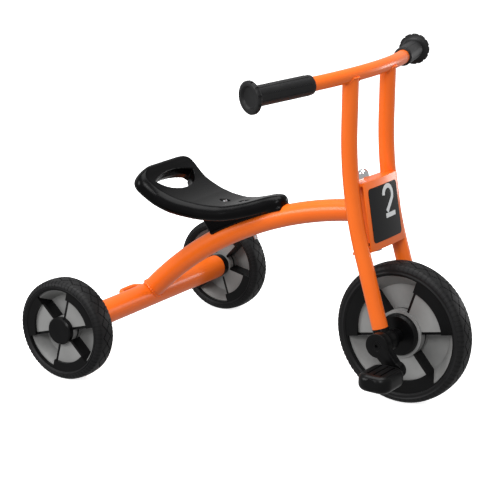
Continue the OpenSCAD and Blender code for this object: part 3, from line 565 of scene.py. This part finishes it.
def between(pairs, at):
    """Reads a value off a table of position and value."""
    for (a, p), (b, q) in zip(pairs, pairs[1:]):
        if at <= b:
            t = max(0, min(1, (at - a) / (b - a)))
            t = t * t * (3 - 2 * t) if len(pairs) < 4 else t
            return p + (q - p) * t
    return pairs[-1][1]


half_widths = [(-0.233, 0.0735), (-0.214, 0.0730), (-0.189, 0.0700), (-0.167, 0.0680), (-0.137, 0.0610),
               (-0.107, 0.0540), (-0.076, 0.0455), (-0.047, 0.0350), (-0.024, 0.0245), (-0.004, 0.0180),
               (0.013, 0.0160)]


def lofted(name, rings):
    """A closed skin through rings of points, with a point at the middle of each end ring."""
    count = len(rings[0])
    bpy.ops.object.select_all(action="DESELECT")
    bpy.ops.mesh.primitive_uv_sphere_add(segments=count, ring_count=len(rings) + 1, radius=1)
    piece = alone(name)
    for vert in piece.data.vertices:
        k = round(math.acos(max(-1, min(1, vert.co.z))) * (len(rings) + 1) / math.pi)
        if k in (0, len(rings) + 1):
            ring = rings[0 if k == 0 else -1]
            vert.co = sum((Vector(p) for p in ring), Vector()) / count
        else:
            j = round(math.atan2(vert.co.y, vert.co.x) / (2 * math.pi) * count) % count
            vert.co = Vector(rings[k - 1][j])
    outward(piece)
    return piece


def rounded_section(half, tall, radius, count=48):
    """Points round a rectangle with rounded corners, across and up from its middle."""
    radius = min(radius, half * 0.98, tall / 2 * 0.98)
    points = []
    for cx, cy, start in ((1, 1, 0), (-1, 1, 90), (-1, -1, 180), (1, -1, 270)):
        for k in range(count // 4):
            a = math.radians(start + 90 * (k + 0.5) / (count // 4))
            points.append((cx * (half - radius) + radius * math.cos(a),
                           cy * (tall / 2 - radius) + radius * math.sin(a)))
    return points


top_lift = [(-0.240, 0.0028), (-0.190, -0.0010), (-0.140, 0.0006), (-0.090, -0.0018), (-0.040, 0.0010),
            (0.013, 0.0021)]


def saddle_rings(inset, top, tall, start, stop, count, radius, round_ends=True):
    """Sections of the saddle along its centre line, square to it and with rounded corners."""
    rings = []
    for i in range(count + 1):
        s = start + (stop - start) * (0.5 - 0.5 * math.cos(math.pi * i / count))
        x, z, a = along_top(s)
        rear = max(0, min(1, (-0.150 - x) / 0.070))
        full = between(half_widths, x) + 0.0050 * rear - inset
        half, squash = full, 1
        if round_ends:
            end_back, end_front = s - start, stop - s
            if end_back < 0.0271:
                half *= 0.30 + 0.70 * max(0, 1 - (1 - end_back / 0.0271) ** 2.4) ** (1 / 2.4)
            if end_front < 0.016:
                half = max(0.003, half * math.sqrt(max(0.02, 1 - (1 - end_front / 0.016) ** 2)))
            if min(end_back, end_front) < 0.0125:
                squash = max(0.12, math.sqrt(max(0, 1 - (1 - min(end_back, end_front) / 0.0125) ** 2)))
        h = between(tall, x)
        ring = []
        for across, up in rounded_section(half, h * squash, radius):
            crown = (0.0065 + 0.0065 * rear) * min(1, full / 0.05) * (1 - 1.4 * (across / full) ** 2)
            drop = top + h / 2 - up - between(top_lift, x) - crown * (0.5 + up / h)
            ring.append((x + drop * math.sin(a), across, z - drop * math.cos(a)))
        rings.append(ring)
    return rings


deep_rim = [(-0.240, 0.0305), (-0.190, 0.0282), (-0.140, 0.0265), (-0.090, 0.0238), (-0.040, 0.0228),
            (0.013, 0.0226)]
saddle = lofted("saddle", saddle_rings(0, 0, deep_rim, -0.1240, 0.1342, 64, 0.0122))

keel_rings = []
for i in range(29):
    t = i / 28
    x = -0.1400 + 0.1480 * (0.5 - 0.5 * math.cos(math.pi * t))
    foot_x = x + 0.045 * max(0, 0.4 - t)
    centre_z = -0.34378 + math.sqrt(0.64 ** 2 - (foot_x - 0.215222) ** 2)
    low = centre_z + 0.0110 + 0.006 * max(0, 1 - t * 7) ** 2
    low += 0.006 * max(0, (t - 0.93) / 0.07) ** 2
    top_x = max(min(x, 0.010), -0.1235 + 0.05 * max(0, 0.1 - t))
    high = 0.2688 + (0.28 - math.sqrt(0.28 ** 2 - (top_x + 0.121) ** 2)) - 0.010
    if x > -0.030:
        high = min(high, 0.2790 - 0.12 * max(0, x + 0.002))
    half = 0.0192 - 0.0025 * t
    if t < 0.03 or t > 0.97:
        half -= 0.004
    keel_rings.append([(x + (0.055 * max(0, 0.4 - t) * (low + (high - low) / 2 - z) / 0.03), y, z)
                       for y, z in ((across, (low + high) / 2 + up) for across, up in
                                    rounded_section(half, max(high - low, 0.004), 0.0042))])
keel = lofted("saddle_keel", keel_rings)

hollow = lofted("saddle_hollow", saddle_rings(0.0075, 0.0065, [(-0.2, 0.030), (0.1, 0.030)],
                                              -0.0420, 0.1020, 30, 0.006, False))
hand_rings = []
tilt = math.asin(0.074 / rear_r)
for deep in (-0.024, -0.008, 0.0, 0.012, 0.024, 0.036, 0.052):
    ring = []
    for k in range(48):
        t = k / 48
        if t < 0.5:
            y = 0.054 * (1 - 4 * t)
            f = max(-0.0435 + math.sqrt(0.0580 ** 2 - y ** 2), -0.0140)
        else:
            y = -0.054 * (1 - 4 * (t - 0.5))
            f = -0.0145 - 0.0105 * (1 - (y / 0.054) ** 2) - 0.45 * max(0, deep - 0.010)
        y *= 1.02 + max(0, deep - 0.005)
        base_x = low_x - (rear_r + deep) * math.sin(tilt)
        base_z = low_z + rear_r - (rear_r + deep) * math.cos(tilt)
        ring.append((base_x + f * math.cos(tilt), y, base_z - f * math.sin(tilt)))
    hand_rings.append(ring)
hand_hole = lofted("saddle_hand_hole", hand_rings)

slots = []
for n, x in enumerate((-0.1075, -0.0700)):
    rings = []
    for up in (0.300, 0.290, 0.280, 0.270, 0.2645 + 0.003 * n):
        rings.append([(x + 0.0092 * math.cos(a), 0.0056 * math.sin(a), up)
                      for a in (2 * math.pi * k / 24 for k in range(24))])
    slots.append(lofted(f"saddle_slot_{n}", rings))


cut_by(saddle, hollow)
cut_by(saddle, keel, "UNION")
cut_by(saddle, hand_hole)
for slot in slots:
    cut_by(saddle, slot)
bpy.ops.object.select_all(action="DESELECT")
saddle.select_set(True)
bpy.context.view_layer.objects.active = saddle
blank = saddle.modifiers.new("skin", "REMESH")
blank.mode, blank.voxel_size = "VOXEL", 0.0012
bpy.ops.object.modifier_apply(modifier="skin")
ease = saddle.modifiers.new("ease", "SMOOTH")
ease.factor, ease.iterations = 0.5, 12
bpy.ops.object.modifier_apply(modifier="ease")
smooth(saddle, 75)
dress(saddle, saddle_skin, "frame")
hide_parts("seat")


# The studio: a pale floor that runs up into the background, soft light and the camera.

bpy.ops.object.select_all(action="DESELECT")
bpy.ops.mesh.primitive_plane_add(size=40, location=(0, 0, 0))
floor = alone("studio_floor")
settle(floor)
paper, nodes, links, shader = shader_of("studio_paper")
speckled_colour(nodes, links, shader, 0.8, (0.93, 0.93, 0.93), (0.95, 0.95, 0.95))
shader.inputs["Roughness"].default_value = 0.9
shader.inputs["Emission Color"].default_value = (1, 1, 1, 1)
shader.inputs["Emission Strength"].default_value = 0.80
floor.data.materials.append(paper)
floor.visible_glossy = floor.visible_diffuse = False

world = bpy.data.worlds.new("studio")
world.use_nodes = True
world.node_tree.nodes["Background"].inputs["Color"].default_value = (1, 1, 1, 1)
world.node_tree.nodes["Background"].inputs["Strength"].default_value = 0.50
bpy.context.scene.world = world
bpy.context.scene.view_settings.view_transform = "Standard"


def soft_box(name, place_at, aim, size, power):
    bpy.ops.object.light_add(type="AREA", location=place_at)
    lamp = bpy.context.object
    lamp.name = name
    lamp.data.shape, lamp.data.size, lamp.data.energy = "SQUARE", size, power
    lamp.rotation_euler = (Vector(place_at) - Vector(aim)).to_track_quat("Z", "Y").to_euler()


soft_box("top_light", (-0.2, -0.3, 2.6), (0, 0, 0.25), 2.2, 78)
soft_box("left_light", (-1.7, -2.3, 1.2), (0, 0, 0.25), 1.2, 38)
soft_box("front_light", (1.2, -2.6, 2.2), (0, 0, 0.25), 1.0, 40)
soft_box("back_light", (0.9, 1.9, 0.45), (0.19, 0, 0.27), 0.5, 7)

bpy.ops.object.camera_add(location=(1.567002, -2.468493, 1.064751),
                          rotation=[math.radians(a) for a in (73.795037, -0.659863, 33.785540)])
camera = bpy.context.object
camera.data.lens, camera.data.sensor_width = 141.7027, 36
camera.data.clip_end = 100
bpy.context.scene.camera = camera
